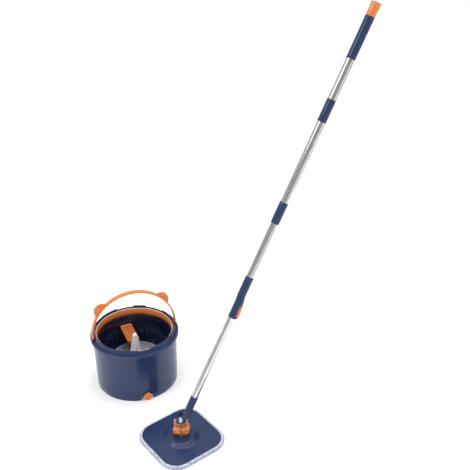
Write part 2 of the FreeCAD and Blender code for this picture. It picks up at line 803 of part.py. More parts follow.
def make_pump():
    """Column, bearing cap, bushes, seal, suction strainer and their screws."""
    column = tube("pump_column", mm.column_radius, mm.column_bore, mm.column_bottom, mm.column_top)
    outlet = new_sketch(column, "XZ_Plane", lift=10, turn=mm.feed_turn + 90)
    circle(outlet, 0, mm.feed_low, mm.feed_radius - 0.8)
    extrude(column, outlet, 30, "Pocket", back=True)
    turned("bearing_cap", [
        (7.1, mm.column_top - 9),
        (9.5, mm.column_top - 9),
        (9.5, mm.column_top - 3),
        (mm.column_bore - 0.1, mm.column_top - 3),
        (mm.column_bore - 0.1, mm.column_top + 0.1),
        (21.5, mm.column_top + 0.1),
        (21.5, mm.column_top + 3),
        (7.1, mm.column_top + 3),
    ])
    bush_bore = mm.shaft_radius + mm.running_gap
    tube("upper_bush", 7.05, bush_bore, mm.column_top - 8, mm.column_top + 2.5)
    turned("lower_bush", [
        (bush_bore, 34),
        (mm.column_bore - 0.1, 34),
        (mm.column_bore - 0.1, 36),
        (7.5, 36),
        (7.5, 44),
        (bush_bore, 44),
    ])
    tube("shaft_seal", 7.0, bush_bore, mm.column_top - 11.5, mm.column_top - 9.1)
    strainer = turned("suction_strainer", [
        (0, 7.5),
        (mm.column_radius, 7.5),
        (mm.column_radius, 9.9),
        (0, 9.9),
    ])
    inlet = new_sketch(strainer, "XY_Plane", lift=11)
    rectangle(inlet, 6, -1.2, 15, 1.2)
    polar(strainer, extrude(strainer, inlet, 6, "Pocket"), 12)
    middle = Vector((mm.column_radius.value + mm.column_bore.value) / 2, 0, mm.column_top.value + 3)
    spots = [Rotation(Z_AXIS, turn).multVec(middle) for turn in (60, 180, 300)]
    loose_solids("column_screws", [screw(2.0, 1.4, 0.8, 8, spot) for spot in spots])
    for spot in spots:
        cut_round(column, spot.x, spot.y, 0.85, mm.column_top + 1, 8)
        cut_round(doc.getObject("bearing_cap"), spot.x, spot.y, 0.85, mm.column_top + 4, 9)


def cut_round(body, x, y, radius, top, depth):
    """Blind or through hole down from a height."""
    sketch = new_sketch(body, "XY_Plane", lift=top)
    circle(sketch, x, y, radius)
    return extrude(body, sketch, depth, "Pocket")


# ---- spindle ---------------------------------------------------------------------------------

def make_spindle():
    """White cone that the mop head sits on, and the shaft that takes its turn to the impeller."""
    base = mm.cone_base_z
    tip = mm.cone_tip_z
    radius = mm.cone_base_radius
    bore = mm.shaft_radius + 0.02
    cone = turned("spindle_cone", [
        (bore, base),
        (radius, base),
        (radius, base + 2.5),
        (radius - 3.2, base + 4.5),
        (13.6, tip - 38),
        (9.6, tip - 20),
        (8.4, tip - 12),
        (7.2, tip - 5),
        (4.8, tip - 1.4),
        (1.8, tip),
        (0, tip),
        (0, tip - 20),
        (bore, tip - 20),
    ])
    fin = new_sketch(cone, "XZ_Plane")
    outline(fin, [
        (8, base + 3),
        (radius - 1, base + 3),
        (radius - 1.6, base + 9),
        (17.6, tip - 54),
        (8, tip - 50),
    ])
    polar(cone, extrude(cone, fin, 2.4, both=True), 6)
    turned("spindle_shaft", [
        (0, 12),
        (mm.shaft_radius, 12),
        (mm.shaft_radius, tip - 20.5),
        (0, tip - 20.5),
    ])
    hub = tube("impeller", 7.5, mm.shaft_radius + 0.02, 14, 26)
    blade = new_sketch(hub, "XY_Plane", lift=14)
    outline(blade, [(6.8, -1), (mm.impeller_radius, -2.4), (mm.impeller_radius, -1), (6.8, 1)])
    polar(hub, extrude(hub, blade, 10), 6)
    tube("shaft_clip", 6.5, mm.shaft_radius + 0.02, 31.8, 33)


# ---- mop head --------------------------------------------------------------------------------

def rounded_square(body, side, corner, low, thickness):
    """Slab with its upright edges rounded."""
    half = side / 2
    sketch = new_sketch(body, "XY_Plane", lift=low)
    rectangle(sketch, -half, -half, half, half)
    extrude(body, sketch, thickness)
    round_edges(body, corner, is_upright)


def make_head_plate():
    """Thin rounded square plate with a raised boss in the middle that the yoke stands on."""
    body = new_body("head_plate", AT_PLATE)
    rounded_square(body, mm.plate_side, mm.plate_corner, mm.plate_under, mm.plate_top - mm.plate_under)
    round_edges(body, 1.4, lambda edge: at_height(edge, mm.plate_top))
    cut_round(body, 0, 0, mm.boss_radius + 6, mm.plate_top + 5, 20)
    boss = new_sketch(body, "XZ_Plane")
    hole = mm.socket_radius + 0.2
    outline(boss, [
        (hole, mm.boss_top - 2.8),
        (mm.boss_radius - 1.5, mm.boss_top - 2.8),
        (mm.boss_radius + 9, mm.plate_under),
        (mm.boss_radius + 14, mm.plate_under),
        (mm.boss_radius + 14, mm.plate_top),
        (mm.boss_radius + 11, mm.plate_top + 0.8),
        (mm.boss_radius + 2.5, mm.boss_top - 1.2),
        (mm.boss_radius - 1, mm.boss_top),
        (hole, mm.boss_top),
    ])
    revolve(body, boss)
    for x, y in screw_spots(mm.plate_turn.value - mm.mop_turn.value):
        cut_round(body, x, y, 1.9, mm.boss_top + 5, 20)
    return body


def screw_spots(turn):
    """The four yoke screws in a frame that is turned from the yoke's own by this angle."""
    back = Rotation(Z_AXIS, -turn)
    corners = [Vector(x, y, 0) for x in (-15, 15) for y in (-8.5, 8.5)]
    return [tuple(back.multVec(corner))[:2] for corner in corners]


def make_yoke(label, side):
    """One half of the claw: a bulged base that holds the cone socket, and a prong with an eye."""
    body = new_body(label, AT_HEAD)
    pivot = mm.pivot_z
    face = new_sketch(body, "XZ_Plane")
    outline(face, [
        (0.6 * side, mm.boss_top + 0.1),
        (18.2 * side, mm.boss_top + 0.1),
        (21.2 * side, mm.boss_top + 3.2),
        (23.0 * side, mm.boss_top + 12),
        (22.6 * side, mm.yoke_base_top - 1),
        (21.4 * side, mm.yoke_base_top + 5),
        (mm.prong_outer * side, pivot - 8),
        (mm.prong_outer * side, pivot + mm.prong_radius - 2),
        ((mm.prong_outer - 2) * side, pivot + mm.prong_radius),
        ((mm.prong_inner + 1) * side, pivot + mm.prong_radius),
        (mm.prong_inner * side, pivot + mm.prong_radius - 1),
        (mm.prong_inner * side, pivot - 13),
        (10 * side, mm.yoke_base_top),
        (0.6 * side, mm.yoke_base_top - 2),
    ])
    extrude(body, face, mm.yoke_depth, both=True)
    narrow = new_sketch(body, "YZ_Plane")
    trim_prong(narrow)
    extrude(body, narrow, 80, "Pocket", both=True)
    round_edges(body, 1.2, lambda edge: is_face_edge(edge))
    hollow = new_sketch(body, "XY_Plane", lift=mm.boss_top)
    circle(hollow, 0, 0, mm.socket_radius + 0.3)
    extrude(body, hollow, mm.socket_top - mm.boss_top + 0.6, "Pocket", back=True)
    eye = new_sketch(body, "YZ_Plane")
    circle(eye, 0, pivot, mm.pin_radius + 0.02)
    extrude(body, eye, 80, "Pocket", both=True)
    for x, y in screw_spots(0):
        if x * side > 0:
            sketch = new_sketch(body, "XY_Plane", lift=mm.boss_top)
            circle(sketch, x, y, 1.6)
            extrude(body, sketch, 14, "Pocket", back=True)
    return body


def trim_prong(sketch):
    """Outline of what is cut away beside the prongs, seen along the pin."""
    pivot = mm.pivot_z
    for side in (-1, 1):
        outline(sketch, [
            ((mm.yoke_depth / 2 + 0.1) * side, mm.yoke_base_top - 3),
            (16 * side, pivot + 20),
            (0.01 * side, pivot + 20),
            (0.01 * side, pivot + mm.prong_radius),
            (mm.prong_radius * 0.5 * side, pivot + mm.prong_radius * 0.87),
            (mm.prong_radius * 0.87 * side, pivot + mm.prong_radius * 0.5),
            (mm.prong_radius * side, pivot),
            (mm.prong_radius * side + 0.6 * side, pivot - 20),
        ])


def is_face_edge(edge):
    """Outer long edges of the claw's front and back faces."""
    half = mm.yoke_depth.value / 2
    return all(abs(abs(vertex.Point.y) - half) < 0.01 for vertex in edge.Vertexes) and edge.Length > 3


def make_socket():
    """Conical cup under the yoke that drops over the bucket's spindle cone."""
    return turned("spindle_socket", [
        (11.0, mm.plate_top),
        (mm.socket_radius, mm.plate_top),
        (mm.socket_radius, mm.socket_top),
        (0, mm.socket_top),
        (0, mm.socket_top - 2),
        (7.2, mm.socket_top - 2),
    ], AT_HEAD)


def make_head_hardware():
    """Hinge pin, screws and the hook strips under the plate."""
    pin = doc.addObject("Part::Cylinder", "yoke_pin")
    pin.Label = "yoke_pin"
    bind(pin, "Radius", mm.pin_radius)
    bind(pin, "Height", mm.prong_outer * 2 - 1)
    start = Vector(0.5 - mm.prong_outer.value, 0, mm.pivot_z.value)
    pin.Placement = AT_HEAD * Placement(start, Rotation(Y_AXIS, 90))
    nodes.append(pin)
    down = Z_AXIS * -1
    spots = [Vector(x, y, mm.boss_top.value - 2.8) for x, y in screw_spots(0)]
    loose_solids("yoke_screws", [screw(3.2, 1.5, 1.5, 15, spot, down) for spot in spots], AT_HEAD)
    strip = Part.makeBox(100, 18, 0.6, Vector(-50, 70, mm.plate_under.value - 0.65))
    strips = [strip.copy() for _ in range(4)]
    for number, item in enumerate(strips):
        item.rotate(ORIGIN, Z_AXIS, 90 * number)
    loose_solids("hook_strips", strips, AT_PLATE)


def make_pad():
    """Looped backing sheet and the thick pile under it, with a hole for the cone."""
    for label, side, low, thickness in (
        ("pad_backing", mm.plate_side + mm.pad_overhang, mm.pad_thickness, 0.7),
        ("mop_pad", mm.plate_side + mm.pad_overhang * 2, as_size(0), mm.pad_thickness - 0.05),
    ):
        body = new_body(label, AT_PLATE)
        corner = mm.plate_corner + (side - mm.plate_side) / 2
        rounded_square(body, side, corner, low, thickness)
        if label == "mop_pad":
            round_edges(body, 2.5, lambda edge: at_height(edge, mm.pad_thickness - 0.05))
        cut_round(body, 0, 0, mm.pad_bore, mm.pad_thickness + 5, 30)


# ---- universal joint -------------------------------------------------------------------------

def make_cross_block():
    """Block that turns on the yoke pin and carries two trunnions across it, a little higher."""
    body = new_body("cross_block", AT_CROSS)
    rise = mm.trunnion_rise
    core = new_sketch(body, "XZ_Plane")
    outline(core, [
        (-9, -4.5),
        (-6, -7),
        (6, -7),
        (9, -4.5),
        (9, rise + 4),
        (6, rise + 6.5),
        (-6, rise + 6.5),
        (-9, rise + 4),
    ])
    extrude(body, core, mm.ear_face * 2 - 0.8, both=True)
    boss = new_sketch(body, "YZ_Plane")
    circle(boss, 0, 0, 5)
    extrude(body, boss, mm.prong_inner * 2 - 0.8, both=True)
    trunnion = new_sketch(body, "XZ_Plane")
    circle(trunnion, 0, rise, mm.trunnion_radius)
    extrude(body, trunnion, mm.ear_back * 2 + 0.6, both=True)
    eye = new_sketch(body, "YZ_Plane")
    circle(eye, 0, 0, mm.pin_radius + mm.running_gap)
    extrude(body, eye, 60, "Pocket", both=True)
    return body


def make_connector():
    """Forked lower end of the pole: two cranked ears, a neck and a socket for the inner tube."""
    body = turned("connector", [
        (0, 12),
        (8.2, 12),
        (10.2, 14.5),
        (mm.connector_radius, 20),
        (mm.connector_radius, mm.connector_top - 1),
        (mm.connector_radius - 1, mm.connector_top),
        (mm.inner_tube_radius + 0.05, mm.connector_top),
        (mm.inner_tube_radius + 0.05, mm.inner_tube_bottom - 0.1),
        (0, mm.inner_tube_bottom - 0.1),
    ], AT_POLE)
    pin_x = -mm.crank
    for lift in (mm.ear_face, -mm.ear_back):
        sketch = new_sketch(body, "XZ_Plane", lift=lift)
        outline(sketch, [
            (pin_x - 9.6, -5),
            (pin_x - 5.8, -11.6),
            (pin_x + 5.8, -11.6),
            (pin_x + 9.6, -5),
            (pin_x + 9.6, 2),
            (6.4, 12),
            (6.4, 30),
            (-6.4, 30),
            (-8.0, 18),
            (pin_x - 9.6, 7),
        ])
        extrude(body, sketch, mm.ear_back - mm.ear_face)
    bridge = new_sketch(body, "XZ_Plane")
    outline(bridge, [(-5.6, 16), (5.6, 16), (5.6, 24), (-5.6, 24)])
    extrude(body, bridge, mm.ear_back * 2 - 1, both=True)
    bore = new_sketch(body, "XZ_Plane")
    circle(bore, pin_x, 0, mm.trunnion_radius + mm.running_gap)
    extrude(body, bore, 60, "Pocket", both=True)
    rivet = new_sketch(body, "XZ_Plane")
    circle(rivet, 0, 58, 1.52)
    extrude(body, rivet, 60, "Pocket", both=True)
    return body


def make_pin_caps():
    """White oval covers on the trunnions' ends, front and back."""
    caps = []
    for side in (-1, 1):
        face = Vector(0, side * (mm.ear_back.value + 0.3), 0)
        cap = Part.makeCylinder(5.3, 2.2, face, Y_AXIS * side)
        caps.append(cap.makeFillet(1, [edge for edge in cap.Edges if edge.Vertexes[0].Point.y * side > 14]))
    stretch = FreeCAD.Matrix()
    stretch.scale(1, 1, 1.62)
    rise = Placement(Vector(0, 0, mm.trunnion_rise.value), Rotation())
    return loose_solids("pin_caps", [cap.transformGeometry(stretch) for cap in caps], AT_CROSS * rise)


# ---- pole ------------------------------------------------------------------------------------

def make_lower_pole():
    """Inner tube with its rivet, and the nut that the twisted rod drives."""
    radius = mm.inner_tube_radius
    bore = radius - mm.tube_wall
    top = mm.inner_tube_top
    body = tube("inner_tube", radius, bore, mm.inner_tube_bottom, top, AT_POLE)
    rivet = new_sketch(body, "XZ_Plane")
    circle(rivet, 0, 58, 1.52)
    extrude(body, rivet, 60, "Pocket", both=True)
    pin = doc.addObject("Part::Cylinder", "connector_pin")
    pin.Label = "connector_pin"
    pin.Radius = 1.5
    bind(pin, "Height", mm.connector_radius * 2)
    start = Vector(0, mm.connector_radius.value, 58)
    pin.Placement = AT_POLE * Placement(start, Rotation(X_AXIS, 90))
    nodes.append(pin)
    turned("spin_nut", [
        (5.6, top - 32),
        (bore - 0.05, top - 32),
        (bore - 0.05, top + 0.1),
        (radius - 0.1, top + 0.1),
        (radius - 0.1, top + 2),
        (6.8, top + 2),
        (6.8, top - 2),
        (5.6, top - 2),
    ], AT_POLE)
    plate = turned("drive_plate", [
        (0, top - 1.9),
        (6.7, top - 1.9),
        (6.7, top - 0.7),
        (0, top - 0.7),
    ], AT_POLE)
    turn = 360 * (top.value - 1.3 - mm.rod_bottom.value) / mm.rod_lead.value
    slit = new_sketch(plate, "XY_Plane", lift=top + 2)
    slit.AttachmentOffset = Placement(Vector(0, 0, top.value + 2), Rotation(Z_AXIS, turn))
    slit_x = mm.rod_width / 2 + 0.25
    slit_y = mm.rod_thickness / 2 + 0.4
    rectangle(slit, -slit_x, -slit_y, slit_x, slit_y)
    extrude(plate, slit, 8, "Pocket")
    tube("nut_cap", 6.7, 5.6, top - 0.6, top + 1.9, AT_POLE)


def make_upper_tubes():
    """Three outer tubes, the sleeves over their joints and the couplers inside them."""
    radius = mm.outer_tube_radius
    bore = radius - mm.tube_wall
    joints = (mm.lower_joint, mm.upper_joint)
    for label, low, high in (
        ("tube_lower", mm.tube_bottom, mm.lower_joint - 0.1),
        ("tube_middle", mm.lower_joint + 0.1, mm.upper_joint - 0.1),
        ("tube_upper", mm.upper_joint + 0.1, mm.grip_top - 16),
    ):
        tube(label, radius, bore, low, high, AT_POLE)
    for label, low in (
        ("joint_sleeve_lower", mm.lower_sleeve_bottom),
        ("joint_sleeve_upper", mm.upper_sleeve_bottom),
    ):
        high = low + mm.sleeve_length
        turned(label, [
            (radius + 0.05, low),
            (mm.sleeve_radius - 0.6, low),
            (mm.sleeve_radius, low + 0.8),
            (mm.sleeve_radius, high - 0.8),
            (mm.sleeve_radius - 0.6, high),
            (radius + 0.05, high),
        ], AT_POLE)
    for label, joint in zip(("coupler_lower", "coupler_upper"), joints):
        tube(label, bore - 0.05, bore - 2.5, joint - 18, joint + 24, AT_POLE)


def make_lock_sleeve():
    """Collar at the foot of the outer tubes, swollen on one side for the lock button's pocket."""
    body = new_body("lock_sleeve", AT_POLE)
    bearing = math.radians(mm.button_turn.value)
    rings = []
    for height, radius, offset in (
        (mm.lock_bottom, mm.housing_radius, mm.housing_offset),
        (mm.housing_top, mm.housing_radius - 0.6, mm.housing_offset - 0.6),
        (mm.shoulder_top, mm.lock_radius, as_size(0)),
    ):
        ring = new_sketch(body, "XY_Plane", lift=height)
        circle(ring, offset * math.sin(bearing), -offset * math.cos(bearing), radius)
        rings.append(ring)
    loft = feature(body, "AdditiveLoft", rings[0])
    loft.Sections = rings[1:]
    loft.Ruled = True
    doc.recompute()
    upper = new_sketch(body, "XZ_Plane")
    outline(upper, [
        (0, mm.shoulder_top),
        (mm.lock_radius, mm.shoulder_top),
        (mm.lock_radius - 0.1, mm.lock_top - 0.8),
        (mm.lock_radius - 0.7, mm.lock_top),
        (0, mm.lock_top),
    ])
    revolve(body, upper)
    inside = new_sketch(body, "XZ_Plane")
    bore = mm.inner_tube_radius + mm.part_gap
    outline(inside, [
        (0, mm.lock_bottom - 1),
        (bore, mm.lock_bottom - 1),
        (bore, mm.lock_bottom + 1),
        (mm.button_pocket, mm.lock_bottom + 1),
        (mm.button_pocket, mm.tube_bottom - 1),
        (bore, mm.tube_bottom - 1),
        (bore, mm.tube_bottom - 0.1),
        (mm.outer_tube_radius + 0.05, mm.tube_bottom - 0.1),
        (mm.outer_tube_radius + 0.05, mm.lock_top + 1),
        (0, mm.lock_top + 1),
    ])
    revolve(body, inside, kind="Groove")
    pocket = new_sketch(body, "XZ_Plane", turn=mm.button_turn)
    reach = mm.button_length / 2 - mm.button_width / 2
    slot(pocket, 0, mm.button_at - reach, mm.button_at + reach, mm.button_width / 2 + mm.button_margin)
    extrude(body, pocket, 30, "Pocket", back=True)
    return body


def make_lock_button():
    """Oval press button with a crowned face, and the bowed leaf spring behind it."""
    body = new_body("lock_button", AT_POLE)
    sketch = new_sketch(body, "XZ_Plane", turn=mm.button_turn)
    reach = mm.button_length / 2 - mm.button_width / 2
    slot(sketch, 0, mm.button_at - reach, mm.button_at + reach, mm.button_width / 2)
    extrude(body, sketch, mm.button_proud + 2)
    back = new_sketch(body, "XY_Plane", lift=mm.button_at + mm.button_length)
    circle(back, 0, 0, mm.button_inner)
    extrude(body, back, mm.button_length * 2, "Pocket")
    face = new_sketch(body, "XZ_Plane")
    high = mm.button_at + mm.button_length / 2
    low = mm.button_at - mm.button_length / 2
    outline(face, [
        (mm.button_outer, high),
        (mm.button_outer, high + 2),
        (mm.button_proud + 6, high + 2),
        (mm.button_proud + 6, low - 2),
        (mm.button_outer + 1, low - 2),
        (mm.button_outer + 1, low),
        (mm.button_proud - 0.4, low + 6),
        (mm.button_proud, low + 13),
        (mm.button_proud - 0.6, low + 21),
    ])
    revolve(body, face, kind="Groove")
    leaf = new_body("lock_spring", AT_POLE)
    side = new_sketch(leaf, "YZ_Plane", turn=mm.button_turn)
    inner, outer = mm.button_pocket + 0.1, mm.button_inner - 0.45
    middle = mm.button_at
    outline(side, [
        (-inner, middle - 10),
        (-inner - 0.3, middle - 10),
        (-outer, middle - 2),
        (-outer, middle + 2),
        (-inner - 0.3, middle + 10),
        (-inner, middle + 10),
        (-outer + 0.3, middle + 2),
        (-outer + 0.3, middle - 2),
    ])
    extrude(leaf, side, 5, both=True)
    return body


def make_grip():
    """Long handle grip with a small lip at its foot, and the hanging cap on top."""
    turned("handle_grip", [
        (mm.outer_tube_radius + 0.05, mm.grip_bottom),
        (mm.grip_radius + 0.2, mm.grip_bottom),
        (mm.grip_radius + 0.4, mm.grip_bottom + 1.5),
        (mm.grip_radius - 0.2, mm.grip_bottom + 5),
        (mm.grip_radius, mm.grip_bottom + 40),
        (mm.grip_radius + 0.2, mm.grip_top - 1),
        (mm.grip_radius - 0.4, mm.grip_top),
        (mm.outer_tube_radius + 0.05, mm.grip_top),
    ], AT_POLE)
    cap = turned("end_cap", [
        (0, mm.grip_top - 15.8),
        (mm.outer_tube_radius - 0.2, mm.grip_top - 15.8),
        (mm.outer_tube_radius - 0.2, mm.grip_top + 0.1),
        (mm.cap_radius, mm.grip_top + 0.1),
        (mm.cap_radius, mm.grip_top + 16),
        (mm.cap_top_radius, mm.cap_top - 2.5),
        (mm.cap_top_radius - 0.8, mm.cap_top - 0.6),
        (mm.cap_top_radius - 3, mm.cap_top),
        (0, mm.cap_top),
    ], AT_POLE)
    sketch = new_sketch(cap, "XZ_Plane", turn=mm.hang_hole_turn)
    circle(sketch, 0, mm.hang_hole_at, mm.hang_hole_radius)
    extrude(cap, sketch, 60, "Pocket", both=True)
    return cap


def make_twisted_rod():
    """Flat steel bar twisted at one constant lead, and the anchor that holds its top."""
    length = mm.rod_top.value - mm.rod_bottom.value
    half_width, half_thickness = mm.rod_width.value / 2, mm.rod_thickness.value / 2
    spine = Part.Wire(Part.makeLine(ORIGIN, Vector(0, 0, length)))
    guide = Part.makeHelix(mm.rod_lead.value, length, half_width * 4)
    corners = [Vector(-half_width, -half_thickness, 0), Vector(half_width, -half_thickness, 0),
               Vector(half_width, half_thickness, 0), Vector(-half_width, half_thickness, 0)]
    sweep = Part.BRepOffsetAPI.MakePipeShell(spine)
    sweep.setAuxiliarySpine(Part.Wire(guide), True, 0)
    sweep.add(Part.makePolygon(corners + corners[:1]))
    sweep.build()
    sweep.makeSolid()
    item = doc.addObject("Part::Feature", "twisted_rod")
    item.Label = "twisted_rod"
    item.Shape = sweep.shape()
    item.Placement = AT_POLE * Placement(Vector(0, 0, mm.rod_bottom.value), Rotation())
    nodes.append(item)
    print("rod volume", item.Shape.Volume, "expected", length * mm.rod_width.value * mm.rod_thickness.value)
    bore = mm.outer_tube_radius - mm.tube_wall
    tube("rod_anchor", bore - 0.05, mm.rod_width / 2 + 0.2, mm.rod_top - 12, mm.rod_top + 6, AT_POLE)


def make_guide_bush():
    """Slippery ring at the head of the inner tube, running in the outer tube."""
    inner = mm.inner_tube_radius + mm.running_gap
    outer = mm.outer_tube_radius - mm.tube_wall - mm.running_gap
    return tube("guide_bush", outer, inner, mm.inner_tube_top - 32, mm.inner_tube_top - 4, AT_POLE)


def build_all():
    make_tub()
    make_bail()
    make_drain_plug()
    make_wash_bowl()
    make_splash_ring()
    make_slotted_band()
    make_strainer_disc()
    make_scrub_bar()
    make_spray_nozzle()
    make_feed_pipe()
    make_pump()
    make_spindle()
    make_head_plate()
    make_yoke("yoke_left", -1)
    make_yoke("yoke_right", 1)
    make_socket()
    make_head_hardware()
    make_pad()
    make_cross_block()
    make_connector()
    make_pin_caps()
    make_lower_pole()
    make_upper_tubes()
    make_lock_sleeve()
    make_lock_button()
    make_grip()
    make_twisted_rod()
    make_guide_bush()


def check_and_export():
    """Stop on any failed object or bad shape, then write one STEP file for each node."""
    doc.recompute()
    failed = [item.Name for item in doc.Objects if "Invalid" in item.State or "Error" in item.State]
    if failed:
        raise RuntimeError(f"failed objects: {failed}")
    for node in nodes:
        if node.Shape.isNull() or not node.Shape.isValid() or not node.Shape.Solids:
            raise RuntimeError(f"bad shape: {node.Label}")
        node.Shape.exportStep(f"parts/{node.Label}.step")
        print(f"{node.Label:20s} solids {len(node.Shape.Solids)} volume {node.Shape.Volume / 1000:.2f} cm3")


build_all()
check_and_export()
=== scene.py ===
# Spin mop: the looks of a wash bucket and a flat mop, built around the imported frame.
# Metres, in the frame's own axes: +Z up, +X along the bail's hinge, the drain plug faces -Y.

import json
import math
import random

import bmesh
import bpy
from mathutils import Euler, Matrix, Vector, noise


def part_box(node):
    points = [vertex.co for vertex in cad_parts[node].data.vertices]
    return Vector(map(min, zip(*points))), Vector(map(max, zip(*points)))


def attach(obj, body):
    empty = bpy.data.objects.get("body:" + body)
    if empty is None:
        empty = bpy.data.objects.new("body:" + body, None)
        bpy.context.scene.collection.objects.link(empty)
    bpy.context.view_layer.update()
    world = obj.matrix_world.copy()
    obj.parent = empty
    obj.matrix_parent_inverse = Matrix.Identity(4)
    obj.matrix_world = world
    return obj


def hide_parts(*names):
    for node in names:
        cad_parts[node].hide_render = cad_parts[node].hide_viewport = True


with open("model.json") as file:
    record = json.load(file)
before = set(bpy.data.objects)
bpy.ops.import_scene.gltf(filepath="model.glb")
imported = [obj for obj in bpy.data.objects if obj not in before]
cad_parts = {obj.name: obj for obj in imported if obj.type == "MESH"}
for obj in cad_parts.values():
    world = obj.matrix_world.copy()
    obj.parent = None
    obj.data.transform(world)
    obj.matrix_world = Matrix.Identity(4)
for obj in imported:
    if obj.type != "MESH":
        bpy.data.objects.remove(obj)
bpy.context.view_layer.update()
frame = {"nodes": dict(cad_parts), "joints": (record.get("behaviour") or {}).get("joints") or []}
nodes = frame["nodes"]
joints = {joint["name"]: joint for joint in frame["joints"]}

HEADING = math.radians(-21.1)          # the camera's heading, turned from +Y
POLE_AXIS = Vector(joints["pole_stroke"]["axis"])


# ---- camera, light and floor -------------------------------------------------------------------

LENS = 53.62                           # mm, on a sensor 36 mm wide
SENSOR = 36.0
CAMERA_SPOT = (0.3216, -1.8516, 1.4749)  # before the heading's turn
CAMERA_DIP = math.radians(27.23)

FLOOR_REACH = 30.0

# the laid card's corners: distance from the bucket's centre, and bearing in degrees
LAID_CARD = ((0.145, 24), (0.60, 38), (0.60, 62), (0.145, 40))
LAID_LIFT = 0.0006
STANDING_REACH = 1.0
STANDING_BEARINGS = (108, 160)
STANDING_TOP = 1.7

# grey level by bearing round the object, in degrees from the camera and positive to its right
STUDIO_FLAGS = (
    (-180, 0.70),
    (-150, 0.80),
    (-122, 0.45),
    (-104, 0.85),
    (-78, 0.55),
    (-56, 0.80),
    (-30, 0.66),
    (-14, 0.48),
    (0, 0.62),
    (28, 0.74),
    (42, 0.38),
    (54, 0.55),
    (80, 0.85),
    (108, 1.0),
    (126, 0.50),
    (140, 0.10),
    (170, 0.08),
    (180, 0.40),
)
WORLD_STRENGTH = 1.0
ZENITH_LEVEL = 1.9
ZENITH_FADE = (0.72, 0.93)             # heights on the unit sky between which the flags give way
FLOOR_GLOW = 0.09

# soft lights: bearing, distance, height, size of the disc, and power in watts
LIGHTS = {
    "key": (-55, 2.4, 2.6, 1.2, 26),
    "fill": (88, 2.6, 1.7, 1.0, 13),
    "top": (150, 1.2, 3.2, 1.6, 20),
}
LIGHT_TARGET = Vector((0.02, -0.1, 0.3))


def make_camera():
    """A viewpoint 1.85 m in front of the bucket and 1.47 m up, looking down on the set."""
    camera = bpy.data.cameras.new("camera")
    camera.lens = LENS
    camera.sensor_width = SENSOR
    item = bpy.data.objects.new("camera", camera)
    bpy.context.scene.collection.objects.link(item)
    turn = Matrix.Rotation(HEADING, 3, "Z")
    item.location = turn @ Vector(CAMERA_SPOT)
    item.rotation_euler = Euler((math.radians(90) - CAMERA_DIP, 0, HEADING))
    bpy.context.scene.camera = item


def make_floor():
    """White sweep of floor that glows a little, so that it ends as the same white as the studio."""
    mesh = bpy.data.meshes.new("floor")
    signs = ((-1, -1), (1, -1), (1, 1), (-1, 1))
    corners = [(x * FLOOR_REACH, y * FLOOR_REACH, 0) for x, y in signs]
    mesh.from_pydata(corners, [], [(0, 1, 2, 3)])
    floor = bpy.data.objects.new("floor", mesh)
    bpy.context.scene.collection.objects.link(floor)
    tree = new_material("pale_floor")
    tree.shader.inputs["Base Color"].default_value = (0.93, 0.93, 0.935, 1)
    tree.shader.inputs["Roughness"].default_value = 0.75
    tree.shader.inputs["Specular IOR Level"].default_value = 0.15
    tree.shader.inputs["Emission Color"].default_value = (1, 1, 1, 1)
    tree.shader.inputs["Emission Strength"].default_value = FLOOR_GLOW
    mesh.materials.append(tree.material)


def make_card(name, corners):
    """Dark card that only shows as a soft dark band in what is glossy."""
    mesh = bpy.data.meshes.new(name)
    mesh.from_pydata(corners, [], [(0, 1, 2, 3)])
    card = bpy.data.objects.new(name, mesh)
    bpy.context.scene.collection.objects.link(card)
    tree = new_material(name + "_black")
    tree.shader.inputs["Base Color"].default_value = (0.004, 0.004, 0.006, 1)
    tree.shader.inputs["Roughness"].default_value = 0.9
    mesh.materials.append(tree.material)
    card.visible_camera = False
    card.visible_diffuse = False
    card.visible_shadow = False


def make_flags():
    """One card lies in front of the bucket, and one stands behind the pole on its right."""
    laid = [around(Vector((0, 0, LAID_LIFT)), reach, bearing) for reach, bearing in LAID_CARD]
    make_card("laid_card", laid)
    low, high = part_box("tube_upper")
    middle = (low + high) / 2
    centre = Vector((middle.x, middle.y, 0))
    left, right = (around(centre, STANDING_REACH, bearing) for bearing in STANDING_BEARINGS)
    top = Vector((0, 0, STANDING_TOP))
    make_card("standing_card", [left, right, right + top, left + top])


def around(centre, reach, bearing):
    """A spot off a centre; bearing 0 is towards the camera, positive to its right."""
    angle = math.radians(bearing)
    return centre + Matrix.Rotation(HEADING, 3, "Z") @ Vector(
        (reach * math.sin(angle), -reach * math.cos(angle), 0))


